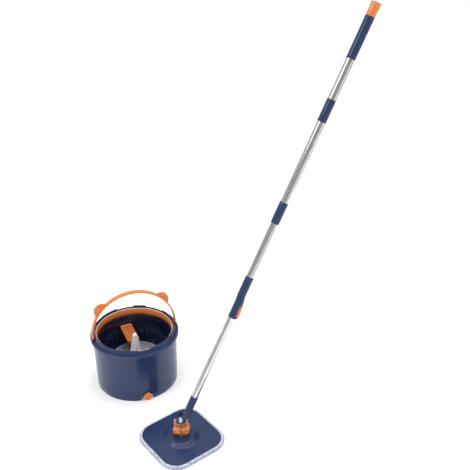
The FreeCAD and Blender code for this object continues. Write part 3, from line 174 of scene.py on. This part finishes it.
def make_world():
    """White studio with a few grey flags round it, which draw the streaks on the steel tubes."""
    world = bpy.data.worlds.new("studio")
    world.use_nodes = True
    bpy.context.scene.world = world
    tree = world.node_tree
    background = tree.nodes["Background"]
    background.inputs["Strength"].default_value = WORLD_STRENGTH
    coords = tree.nodes.new("ShaderNodeTexCoord")
    mapping = tree.nodes.new("ShaderNodeMapping")
    mapping.inputs["Rotation"].default_value = (0, 0, math.radians(90) - HEADING)
    radial = tree.nodes.new("ShaderNodeTexGradient")
    radial.gradient_type = "RADIAL"
    flags = tree.nodes.new("ShaderNodeValToRGB")
    flags.color_ramp.interpolation = "EASE"
    stops = flags.color_ramp.elements
    for index, (bearing, grey) in enumerate(STUDIO_FLAGS):
        stop = stops[index] if index < 2 else stops.new(0.5)
        stop.position = (bearing + 180) / 360
        stop.color = (grey, grey, grey, 1)
    height = tree.nodes.new("ShaderNodeSeparateXYZ")
    above = tree.nodes.new("ShaderNodeMapRange")
    above.inputs["From Min"].default_value = ZENITH_FADE[0]
    above.inputs["From Max"].default_value = ZENITH_FADE[1]
    mix = tree.nodes.new("ShaderNodeMix")
    mix.data_type = "RGBA"
    mix.inputs["B"].default_value = (ZENITH_LEVEL, ZENITH_LEVEL, ZENITH_LEVEL, 1)
    link = tree.links.new
    link(coords.outputs["Generated"], mapping.inputs["Vector"])
    link(mapping.outputs["Vector"], radial.inputs["Vector"])
    link(radial.outputs["Fac"], flags.inputs["Fac"])
    link(coords.outputs["Generated"], height.inputs["Vector"])
    link(height.outputs["Z"], above.inputs["Value"])
    link(above.outputs["Result"], mix.inputs["Factor"])
    link(flags.outputs["Color"], mix.inputs["A"])
    link(mix.outputs["Result"], background.inputs["Color"])
    sweep_white = tree.nodes.new("ShaderNodeBackground")
    sweep_white.inputs["Color"].default_value = (1, 1, 1, 1)
    seen = tree.nodes.new("ShaderNodeLightPath")
    shown = tree.nodes.new("ShaderNodeMixShader")
    link(seen.outputs["Is Camera Ray"], shown.inputs["Fac"])
    link(background.outputs["Background"], shown.inputs[1])
    link(sweep_white.outputs["Background"], shown.inputs[2])
    link(shown.outputs["Shader"], tree.nodes["World Output"].inputs["Surface"])


def area_light(name, bearing, distance, height, size, power):
    """A round soft light turned towards the middle of the set."""
    light = bpy.data.lights.new(name, "AREA")
    light.shape = "DISK"
    light.size = size
    light.energy = power
    item = bpy.data.objects.new(name, light)
    bpy.context.scene.collection.objects.link(item)
    item.location = around(Vector((0, 0, height)), distance, bearing)
    towards = LIGHT_TARGET - item.location
    item.rotation_euler = towards.to_track_quat("-Z", "Y").to_euler()


def make_lights():
    for name, settings in LIGHTS.items():
        area_light(name, *settings)


# ---- materials ---------------------------------------------------------------------------------

# noise scales, in cycles per metre
SCUFFS = 14.0
WAVES = 22.0
STAINS = 30.0
DUST = 60.0
REFLECTION_STREAKS = 140.0
CLUMPS = 160.0
PITS = 1400.0
RUBBER_PITS = 1800.0
HAIRLINES = 2400.0

# heights of bumps, in metres
WAVE_HEIGHT = 0.0006
PILE_HEIGHT = 0.0004
RUBBER_HEIGHT = 0.0001
PIT_HEIGHT = 0.00005
HAIRLINE_HEIGHT = 0.00002

GLOSS_DRIFT = 0.012
ALONG_TUBE = (1, 1, 0.012)             # how far hairlines stretch along a tube and a sheet, and how far a painted reflection streak stretches along a tube
ALONG_SHEET = (1, 0.03, 1)
ALONG_REFLECTION_STREAK = (1, 1, 0.004)
REFLECTION_STREAK_BAND = (0.40, 0.56)             # where the noise goes from a painted dark reflection streak to the plain colour
YARN_BAND = (0.12, 0.32)


class Tree:
    """A material's node tree with its shader, and short ways to add to it."""

    def __init__(self, material):
        self.material = material
        self.nodes = material.node_tree.nodes
        self.shader = self.nodes["Principled BSDF"]

    def add(self, kind):
        """A new shader node."""
        return self.nodes.new(f"ShaderNode{kind}")

    def multiplied(self, colour, tint):
        """One colour times another, as a Mix node's colour result."""
        mix = self.add("Mix")
        mix.data_type = "RGBA"
        mix.blend_type = "MULTIPLY"
        mix.inputs["Factor"].default_value = 1.0
        self.link(colour, mix.inputs["A"])
        self.link(tint, mix.inputs["B"])
        return mix.outputs["Result"]

    def link(self, source, target):
        self.material.node_tree.links.new(source, target)

    def place(self, scale=(1, 1, 1), along=None):
        """Coordinates in the row frame, or in one whose Z lies along an axis."""
        coords = self.add("TexCoord")
        mapping = self.add("Mapping")
        mapping.inputs["Scale"].default_value = scale
        if along is None:
            self.link(coords.outputs["Object"], mapping.inputs["Vector"])
            return mapping.outputs["Vector"]
        swing = self.add("Mapping")
        upright = along.rotation_difference(Vector((0, 0, 1)))
        swing.inputs["Rotation"].default_value = upright.to_euler()
        self.link(coords.outputs["Object"], swing.inputs["Vector"])
        self.link(swing.outputs["Vector"], mapping.inputs["Vector"])
        return mapping.outputs["Vector"]

    def noise(self, vector, scale, detail=3.0, roughness=0.55):
        """Noise between 0 and 1 at a place."""
        texture = self.add("TexNoise")
        texture.inputs["Scale"].default_value = scale
        texture.inputs["Detail"].default_value = detail
        texture.inputs["Roughness"].default_value = roughness
        self.link(vector, texture.inputs["Vector"])
        return texture.outputs["Fac"]

    def ramp(self, factor, low, high, start=0.3, end=0.7):
        """Colours or greys from low to high as the factor goes from start to end."""
        node = self.add("ValToRGB")
        for stop, place, value in zip(node.color_ramp.elements, (start, end), (low, high)):
            stop.position = place
            stop.color = (*value, 1) if isinstance(value, tuple) else (value, value, value, 1)
        self.link(factor, node.inputs["Fac"])
        return node.outputs["Color"]

    def bump(self, height, strength, distance, under=None):
        """A bumped normal, on top of another one if that is given."""
        node = self.add("Bump")
        node.inputs["Strength"].default_value = strength
        node.inputs["Distance"].default_value = distance
        self.link(height, node.inputs["Height"])
        if under is not None:
            self.link(under, node.inputs["Normal"])
        return node.outputs["Normal"]


def new_material(name):
    """A new material's tree."""
    material = bpy.data.materials.new(name)
    material.use_nodes = True
    return Tree(material)


def moulded(name, colour, roughness, grain, shine=0.5, soft=0.0, contrast=0.12, mottle_scale=9.0):
    """Moulded plastic: fine spark-eroded grain, slow flow marks (on the claw, a painted mottle of
    shade and highlight) and small gloss changes.
    """
    tree = new_material(name)
    place = tree.place()
    drift = tree.noise(place, mottle_scale, 4.0)
    darker = tuple(channel * (1 - contrast) for channel in colour)
    lighter = tuple(min(1.0, channel * (1 + contrast)) for channel in colour)
    tree.link(tree.ramp(drift, darker, lighter), tree.shader.inputs["Base Color"])
    scuffs = tree.noise(place, SCUFFS, 2.0, 0.4)
    gloss = tree.ramp(scuffs, roughness - GLOSS_DRIFT, roughness + GLOSS_DRIFT)
    tree.link(gloss, tree.shader.inputs["Roughness"])
    pits = tree.noise(place, PITS, 2.0)
    waves = tree.noise(place, WAVES, 2.0)
    soft_normal = tree.bump(waves, 0.03, WAVE_HEIGHT)
    tree.link(tree.bump(pits, grain, PIT_HEIGHT, soft_normal), tree.shader.inputs["Normal"])
    tree.shader.inputs["Specular IOR Level"].default_value = shine
    tree.shader.inputs["Subsurface Weight"].default_value = soft
    tree.shader.inputs["Subsurface Radius"].default_value = (0.004, 0.003, 0.002)
    tree.shader.inputs["Subsurface Scale"].default_value = 0.4
    return tree.material


def metal(name, colour, roughness, along=None, streak=0.25, painted_reflection=0.0):
    """Drawn or rolled metal: hairlines along it, faint stains, and painted reflection streaks on
    tube.
    """
    tree = new_material(name)
    stretch = ALONG_SHEET if along is None else ALONG_TUBE
    lines = tree.noise(tree.place(stretch, along), HAIRLINES, 3.0)
    cloud = tree.noise(tree.place(), STAINS, 4.0)
    dull = tuple(channel * 0.86 for channel in colour)
    base = tree.ramp(cloud, dull, colour)
    # painted reflection: dark streaks along the tube, put into its colour
    if painted_reflection:
        reflection_streak = tree.noise(tree.place(ALONG_REFLECTION_STREAK, along), REFLECTION_STREAKS, 2.0, 0.4)
        reflection_dark = tuple(channel * (1 - painted_reflection) for channel in colour)
        base = tree.multiplied(base, tree.ramp(reflection_streak, reflection_dark, (1.0, 1.0, 1.0), *REFLECTION_STREAK_BAND))
    tree.link(base, tree.shader.inputs["Base Color"])
    tree.link(tree.ramp(lines, roughness * 0.7, roughness * 1.4), tree.shader.inputs["Roughness"])
    tree.link(tree.bump(lines, streak, HAIRLINE_HEIGHT), tree.shader.inputs["Normal"])
    tree.shader.inputs["Metallic"].default_value = 1.0
    return tree.material


def rubber(name, colour):
    """Matt rubber with a little dust on it."""
    tree = new_material(name)
    place = tree.place()
    dust = tree.noise(place, DUST, 5.0)
    dusty = tuple(channel * 2.2 for channel in colour)
    tree.link(tree.ramp(dust, colour, dusty, 0.5, 0.8), tree.shader.inputs["Base Color"])
    tree.shader.inputs["Roughness"].default_value = 0.8
    pits = tree.noise(place, RUBBER_PITS)
    tree.link(tree.bump(pits, 0.2, RUBBER_HEIGHT), tree.shader.inputs["Normal"])
    return tree.material


def cloth(name, shade, bright, pile=900.0, sheen=0.5):
    """Microfibre: matt yarn with a pale bloom on its edges and tiny shadowed gaps."""
    tree = new_material(name)
    place = tree.place()
    clumps = tree.noise(place, CLUMPS, 3.0)
    fibres = tree.noise(place, pile, 4.0, 0.7)
    depth = tree.add("Math")
    depth.operation = "MULTIPLY"
    tree.link(clumps, depth.inputs[0])
    tree.link(fibres, depth.inputs[1])
    yarn = tree.ramp(depth.outputs["Value"], shade, bright, *YARN_BAND)
    tree.link(yarn, tree.shader.inputs["Base Color"])
    tree.shader.inputs["Roughness"].default_value = 0.95
    tree.shader.inputs["Sheen Weight"].default_value = sheen
    tree.shader.inputs["Sheen Roughness"].default_value = 0.5
    tree.shader.inputs["Specular IOR Level"].default_value = 0.15
    tree.shader.inputs["Subsurface Weight"].default_value = 0.15
    tree.shader.inputs["Subsurface Scale"].default_value = 0.003
    tree.link(tree.bump(fibres, 0.6, PILE_HEIGHT), tree.shader.inputs["Normal"])
    return tree.material


def paint(material, *names):
    """Give CAD nodes a material through their slots."""
    for name in names:
        mesh_slots = nodes[name].material_slots
        if not mesh_slots:
            nodes[name].data.materials.append(material)
        for mesh_slot in mesh_slots:
            mesh_slot.material = material


def painted_by_height(name, low, high, under, over):
    """The orange plastic with light painted by height: multiplied by one tint below a height and by
    another above it, as painted shade in grooves and as a painted highlight along an edge.
    """
    tree = Tree(moulded(name, ORANGE_COLOUR, 0.34, 0.03, soft=0.08, contrast=0.05))
    base = tree.shader.inputs["Base Color"].links[0].from_socket
    split = tree.add("SeparateXYZ")
    tree.link(tree.place(), split.inputs["Vector"])
    rise = tree.add("MapRange")
    rise.inputs["From Min"].default_value = low
    rise.inputs["From Max"].default_value = high
    tree.link(split.outputs["Z"], rise.inputs["Value"])
    tint = tree.ramp(rise.outputs["Result"], under, over, 0.1, 0.9)
    tree.link(tree.multiplied(base, tint), tree.shader.inputs["Base Color"])
    return tree.material


def paint_all():
    """Every CAD node that stays in sight gets its finish."""
    paint(NAVY, "tub", "head_plate", "connector", "connector_pin", "joint_sleeve_lower",
          "joint_sleeve_upper", "lock_sleeve", "handle_grip")
    paint(DARK_NAVY, "wash_bowl", "spray_nozzle", "cross_block")
    paint(BAND_NAVY, "slotted_band")
    paint(ORANGE, "bail", "drain_plug", "lock_button", "end_cap")
    paint(RIBBED_GROOVE_SHADE, "scrub_bar")
    paint(RIM_HIGHLIGHT, "splash_ring")
    paint(WHITE, "spindle_cone", "impeller", "upper_bush", "lower_bush", "guide_bush")
    paint(PEARL, "pin_caps")
    paint(GREY, "feed_pipe", "pump_column", "bearing_cap", "suction_strainer", "spindle_socket",
          "spin_nut", "nut_cap", "coupler_lower", "coupler_upper", "rod_anchor")
    paint(RUBBER, "drain_seal", "shaft_seal")
    paint(TUBE, "inner_tube", "tube_lower", "tube_middle", "tube_upper")
    paint(BRIGHT, "spindle_shaft", "shaft_clip", "yoke_pin", "drive_plate",
          "lock_spring", "twisted_rod")
    paint(ZINC, "column_screws", "bar_screws", "yoke_screws")
    paint(HOOKS, "hook_strips")


# ---- mesh helpers ------------------------------------------------------------------------------

def new_piece(name, verts, faces, material, body, smooth=True):
    """A mesh of its own that rides on a body."""
    mesh = bpy.data.meshes.new(name)
    mesh.from_pydata(verts, [], faces)
    mesh.materials.append(material)
    if smooth:
        mesh.polygons.foreach_set("use_smooth", [True] * len(mesh.polygons))
    mesh.update()
    item = bpy.data.objects.new(name, mesh)
    bpy.context.scene.collection.objects.link(item)
    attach(item, body)
    return item


def applied(item):
    """Bake an object's modifiers into its mesh."""
    graph = bpy.context.evaluated_depsgraph_get()
    mesh = bpy.data.meshes.new_from_object(item.evaluated_get(graph))
    item.modifiers.clear()
    item.data = mesh
    return item


YOKE_TURN = math.radians(-21.1)
CLAW_VOXEL = 0.0007
CLAW_SMOOTHING = 34
CLAW_WAIST = 0.014                     # height over which a half widens from its foot
CLAW_DRAW = 0.42                       # how much its foot is drawn in
CLAW_KNUCKLE = 0.0030
CLAW_CROWN = 0.012                     # height below the top over which the knuckles fade
KNUCKLE_PITCH = (95, 70, 75)


def make_claw(node, name):
    """Half of the yoke as one soft moulding: knuckles above, drawn in where it meets the plate."""
    item = bpy.data.objects.new(name, nodes[node].data.copy())
    bpy.context.scene.collection.objects.link(item)
    remesh = item.modifiers.new("remesh", "REMESH")
    remesh.mode = "VOXEL"
    remesh.voxel_size = CLAW_VOXEL
    smooth = item.modifiers.new("smooth", "SMOOTH")
    smooth.factor = 0.5
    smooth.iterations = CLAW_SMOOTHING
    applied(item)
    place = head_frame(YOKE_TURN)
    home = place.inverted()
    low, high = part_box(node)
    for vertex in item.data.vertices:
        spot = home @ vertex.co
        rise = (spot.z - low.z) / CLAW_WAIST
        draw = 1 - CLAW_DRAW * (1 - min(max(rise, 0), 1)) ** 2
        spot.x *= draw
        spot.y *= draw
        knuckle = noise.noise(Vector(a * b for a, b in zip(spot, KNUCKLE_PITCH)))
        shell = min(1.0, max(0.0, (high.z - spot.z) / CLAW_CROWN))
        out = Vector((spot.x, spot.y, 0)).normalized()
        vertex.co = place @ (spot + out * knuckle * CLAW_KNUCKLE * shell)
    item.data.materials.clear()
    item.data.materials.append(CLAW_PAINTED_MOTTLE)
    item.data.polygons.foreach_set("use_smooth", [True] * len(item.data.polygons))
    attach(item, "mop_head")
    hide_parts(node)


def rounded_square(half, corner, count):
    """Evenly spaced points round a square with rounded corners, and their outward directions."""
    straight = 2 * (half - corner)
    arc = math.pi / 2 * corner
    total = 4 * (straight + arc)
    points = []
    for index in range(count):
        along = total * index / count
        side, rest = divmod(along, straight + arc)
        if rest < straight:
            point = Vector((half, -half + corner + rest, 0))
            out = Vector((1, 0, 0))
        else:
            angle = (rest - straight) / corner
            out = Vector((math.cos(angle), math.sin(angle), 0))
            point = Vector((half - corner, half - corner, 0)) + out * corner
        turn = Matrix.Rotation(side * math.pi / 2, 3, "Z")
        points.append((turn @ point, turn @ out))
    return points


def sweep(verts, faces, path, radius, sides):
    """Add a closed tube along a path to the lists."""
    start = len(verts)
    up = Vector((0, 0, 1))
    for index, point in enumerate(path):
        ahead = path[min(index + 1, len(path) - 1)] - path[max(index - 1, 0)]
        across = ahead.cross(up)
        if across.length < 1e-7:
            across = Vector((1, 0, 0))
        across.normalize()
        lift = across.cross(ahead).normalized()
        for side in range(sides):
            angle = 2 * math.pi * side / sides
            verts.append(point + (across * math.cos(angle) + lift * math.sin(angle)) * radius)
    for index in range(len(path) - 1):
        for side in range(sides):
            a = start + index * sides + side
            b = start + index * sides + (side + 1) % sides
            faces.append((a, b, b + sides, a + sides))
    faces.append(tuple(start + side for side in reversed(range(sides))))
    last = start + (len(path) - 1) * sides
    faces.append(tuple(last + side for side in range(sides)))


# ---- pad ---------------------------------------------------------------------------------------

def head_frame(turn):
    """Where the mop head's plate stands, from the plate's own box, with a turn about Z."""
    low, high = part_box("head_plate")
    centre = (low + high) / 2
    return Matrix.Translation((centre.x, centre.y, 0)) @ Matrix.Rotation(turn, 4, "Z")


PLATE_TURN = math.radians(17.5)
PLATE_HALF = 0.0965
PLATE_CORNER = 0.048
PAD_REACH = 0.007                      # how far the pad stands out past the plate
PAD_HOLE = 0.020
PAD_TOP = 0.0062
PAD_SOLE = 0.0003
PAD_STEPS = 320                        # points round the pad
TUFTED = 0.011                         # the outermost part of the rim, where the pile is rough
PAD_RIM = (                            # how far in from the pad's edge, and height
    (0.020, PAD_SOLE),
    (0.006, PAD_SOLE),
    (0.002, 0.0008),
    (0.0004, 0.0022),
    (0.0, 0.0040),
    (0.0008, 0.0060),
    (0.0026, 0.0074),
    (0.0050, 0.0082),
    (0.0076, 0.0080),
    (0.0094, 0.0070),
    (0.0112, PAD_TOP),
    (0.020, PAD_TOP),
)

# rows of loops: how far in from the pad's edge, height, and how many
LOOP_ROWS = (
    (0.0062, 0.0072, 330),
    (0.0030, 0.0074, 330),
    (0.0008, 0.0056, 330),
    (0.0002, 0.0032, 330),
)
YARN = 0.00062
LOOP_STEPS = 7
YARN_SIDES = 5
LOOP_ROOT = 0.0008                     # how deep a loop starts in the pad, and its least height


def make_pad():
    """Microfibre pad: a flat slab whose rim curls up round the plate, edged with yarn loops."""
    place = head_frame(PLATE_TURN)
    count = PAD_STEPS
    half = PLATE_HALF + PAD_REACH
    corner = PLATE_CORNER + PAD_REACH
    verts = []
    for inset, height in PAD_RIM:
        for point, out in rounded_square(half - inset, corner - inset, count):
            spot = place @ (point + Vector((0, 0, height)))
            if inset < TUFTED:
                tufts = noise.noise(spot * 420.0) * 0.0008 + noise.noise(spot * 130.0) * 0.0007
                spot += place.to_3x3() @ (out * tufts) + Vector((0, 0, abs(tufts) * 0.7))
            verts.append(spot)
    for height in (PAD_TOP, PAD_SOLE):
        for point, out in rounded_square(PAD_HOLE * 1.02, PAD_HOLE, count):
            verts.append(place @ (point + Vector((0, 0, height))))
    rings = len(PAD_RIM) + 2
    faces = []
    for ring in range(rings):
        after = (ring + 1) % rings
        for index in range(count):
            beside = (index + 1) % count
            faces.append((ring * count + index, ring * count + beside,
                          after * count + beside, after * count + index))
    pad = new_piece("fuzzy_pad", verts, faces, MICROFIBRE, "mop_head")
    fix_normals(pad)
    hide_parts("mop_pad", "pad_backing")
    make_loops(place, half, corner)


def make_loops(place, half, corner):
    """Rows of short twisted yarn loops round the pad's edge, drooping to the floor."""
    random.seed(7)
    verts = []
    faces = []
    for inset, height, count in LOOP_ROWS:
        for point, out in rounded_square(half - inset, corner - inset, count):
            side = Vector((-out.y, out.x, 0))
            width = random.uniform(0.0009, 0.0017)
            reach = random.uniform(0.0022, 0.0042)
            drop = random.uniform(0.0004, 0.0022)
            skew = random.uniform(-0.0014, 0.0014)
            base = point + side * random.uniform(-0.0006, 0.0006) + Vector((0, 0, height))
            path = []
            for step in range(LOOP_STEPS):
                swing = math.pi * step / (LOOP_STEPS - 1)
                forward = math.sin(swing)
                rise = random.uniform(-0.0002, 0.0004) - drop * forward * forward
                spot = (base + side * (-math.cos(swing) * width + skew * forward)
                        + out * (reach * forward - LOOP_ROOT)
                        + Vector((0, 0, rise)))
                spot.z = max(spot.z, LOOP_ROOT)
                path.append(place @ spot)
            sweep(verts, faces, path, YARN, YARN_SIDES)
    loops = new_piece("pad_loops", verts, faces, MICROFIBRE, "mop_head")


def fix_normals(item):
    """Turn every face outwards."""
    work = bmesh.new()
    work.from_mesh(item.data)
    bmesh.ops.recalc_face_normals(work, faces=work.faces)
    work.to_mesh(item.data)
    work.free()


# ---- strainer ----------------------------------------------------------------------------------

HOLE_PITCH = 0.0052
HOLE_RADIUS = 0.00125
HOLE_SIDES = 12
ROW_STEP = HOLE_PITCH * 0.866
SHEET_SINK = 0.0002                    # how far the sheet's top lies below its rim's
SHEET_RISE = 0.0004                    # and its underside above the rim's
HOLED_FROM = 0.0275                    # the holes keep clear of the hub and of the outer edge
HOLED_MARGIN = 0.0025
RIM_WIDTH = 0.0062
HUB = (0.025, 0.0312)                  # inner and outer radius
RING_EDGE = 0.0003


def make_strainer():
    """Perforated sheet between a plain rim and a plain hub, both a little proud of it."""
    low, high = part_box("strainer_disc")
    centre = (low + high) / 2
    outer = (high.x - low.x) / 2
    top = high.z - SHEET_SINK
    under = low.z + SHEET_RISE
    verts = []
    faces = []
    rows = int(outer / ROW_STEP) + 1
    for row in range(-rows, rows + 1):
        for column in range(-rows - 1, rows + 2):
            x = (column + (row % 2) / 2) * HOLE_PITCH
            y = row * ROW_STEP
            if HOLED_FROM < math.hypot(x, y) < outer - HOLED_MARGIN:
                spot = Vector((centre.x + x, centre.y + y, 0))
                add_hole(verts, faces, spot, top, under)
    add_ring(verts, faces, centre, outer - RIM_WIDTH, outer, high.z, low.z)
    add_ring(verts, faces, centre, HUB[0], HUB[1], high.z, low.z)
    disc = new_piece("perforated_strainer", verts, faces, PERFORATED, "wash_unit",
                     smooth=False)
    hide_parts("strainer_disc")


def add_hole(verts, faces, centre, top, under):
    """One six-sided cell of sheet with a round hole through it."""
    cell = HOLE_PITCH / 2 / math.cos(math.pi / 6)
    start = len(verts)
    for height in (top, under):
        for index in range(HOLE_SIDES):
            angle = 2 * math.pi * index / HOLE_SIDES
            sector = (angle + math.pi / 6) % (math.pi / 3) - math.pi / 6
            edge = HOLE_PITCH / 2 / math.cos(sector)
            direction = Vector((math.cos(angle), math.sin(angle), 0))
            verts.append(centre + direction * min(edge, cell) + Vector((0, 0, height)))
            verts.append(centre + direction * HOLE_RADIUS + Vector((0, 0, height)))
    for index in range(HOLE_SIDES):
        a = start + index * 2
        b = start + (index + 1) % HOLE_SIDES * 2
        c = a + HOLE_SIDES * 2
        d = b + HOLE_SIDES * 2
        faces.append((a, b, b + 1, a + 1))
        faces.append((c + 1, d + 1, d, c))
        faces.append((a + 1, b + 1, d + 1, c + 1))


def add_ring(verts, faces, centre, inner, outer, top, under, count=96):
    """Flat ring with a small chamfer round its outer edge."""
    start = len(verts)
    section = (
        (inner, under),
        (outer, under),
        (outer, top - RING_EDGE),
        (outer - RING_EDGE, top),
        (inner, top),
    )
    for radius, height in section:
        for index in range(count):
            angle = 2 * math.pi * index / count
            x = centre.x + radius * math.cos(angle)
            y = centre.y + radius * math.sin(angle)
            verts.append(Vector((x, y, height)))
    for ring in range(len(section)):
        after = (ring + 1) % len(section)
        for index in range(count):
            beside = (index + 1) % count
            faces.append((start + ring * count + index, start + ring * count + beside,
                          start + after * count + beside, start + after * count + index))


# ---- edges -------------------------------------------------------------------------------------

def ease_edges(width, *names):
    """Small rounded edges on CAD pieces, as a moulding has, made by modifiers alone."""
    for name in names:
        weld = nodes[name].modifiers.new("weld", "WELD")
        weld.merge_threshold = 0.00001
        bevel = nodes[name].modifiers.new("bevel", "BEVEL")
        bevel.width = width
        bevel.segments = 2
        bevel.limit_method = "ANGLE"
        bevel.angle_limit = math.radians(35)
        bevel.harden_normals = True


# ---- finishes ----------------------------------------------------------------------------------

NAVY = moulded("navy_plastic", (0.016, 0.034, 0.098), 0.24, 0.03, shine=0.40, contrast=0.07)
DARK_NAVY = moulded("dark_navy_plastic", (0.004, 0.010, 0.036), 0.18, 0.02)
BAND_NAVY = moulded("band_navy_plastic", (0.012, 0.021, 0.048), 0.32, 0.03)
ORANGE_COLOUR = (0.70, 0.225, 0.062)
ORANGE = moulded("orange_plastic", ORANGE_COLOUR, 0.34, 0.03, soft=0.08, contrast=0.05)
SPLASH_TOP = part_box("splash_ring")[1].z
BAR_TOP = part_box("scrub_bar")[1].z
RIBBED_GROOVE_SHADE = painted_by_height("ribbed_orange_painted_groove_shade", BAR_TOP - 0.008, BAR_TOP - 0.004,
                (0.42, 0.32, 0.22), (1.0, 1.0, 1.0))  # painted shade: dark between the ribs, in the grooves
RIM_HIGHLIGHT = painted_by_height("orange_painted_rim_highlight", SPLASH_TOP - 0.0018, SPLASH_TOP - 0.0006,
                (1.15, 1.15, 1.15), (1.3, 2.4, 4.6))  # painted highlight: pale along the top edge
# painted shade and highlight: a strong, fine mottle of dark orange and peach in the claw's colour
CLAW_PAINTED_MOTTLE = moulded("claw_orange_painted_mottle", (0.72, 0.235, 0.075), 0.26, 0.03,
               soft=0.08, contrast=0.38, mottle_scale=130.0)
PEARL = moulded("pearl_plastic", (0.50, 0.53, 0.62), 0.30, 0.03, contrast=0.03)
WHITE = moulded("white_plastic", (0.86, 0.87, 0.90), 0.34, 0.03, soft=0.15, contrast=0.03)
GREY = moulded("grey_plastic", (0.13, 0.14, 0.16), 0.45, 0.1)
RUBBER = rubber("black_rubber", (0.012, 0.012, 0.014))
# the steel tube's colour carries painted reflection streaks
TUBE = metal("steel_tube", (0.74, 0.735, 0.73), 0.12, POLE_AXIS, 0.08, 0.36)
BRIGHT = metal("bright_steel", (0.62, 0.62, 0.63), 0.28)
ZINC = metal("zinc_screw", (0.55, 0.57, 0.60), 0.38)
PERFORATED = metal("perforated_steel", (0.46, 0.48, 0.54), 0.50)
HOOKS = cloth("hook_tape", (0.45, 0.46, 0.48), (0.75, 0.76, 0.78), 1600.0, 0.1)
MICROFIBRE = cloth("microfibre", (0.26, 0.28, 0.38), (0.66, 0.68, 0.77))

make_camera()
make_floor()
make_flags()
make_world()
make_lights()
paint_all()
make_pad()
make_strainer()
make_claw("yoke_left", "claw_left")
make_claw("yoke_right", "claw_right")
ease_edges(0.0008, "tub", "bail", "drain_plug", "scrub_bar", "connector", "cross_block")
ease_edges(0.0005, "splash_ring", "head_plate", "lock_sleeve", "lock_button", "end_cap",
           "handle_grip", "joint_sleeve_lower", "joint_sleeve_upper", "wash_bowl", "spindle_cone")
bpy.context.scene.view_settings.view_transform = "Standard"
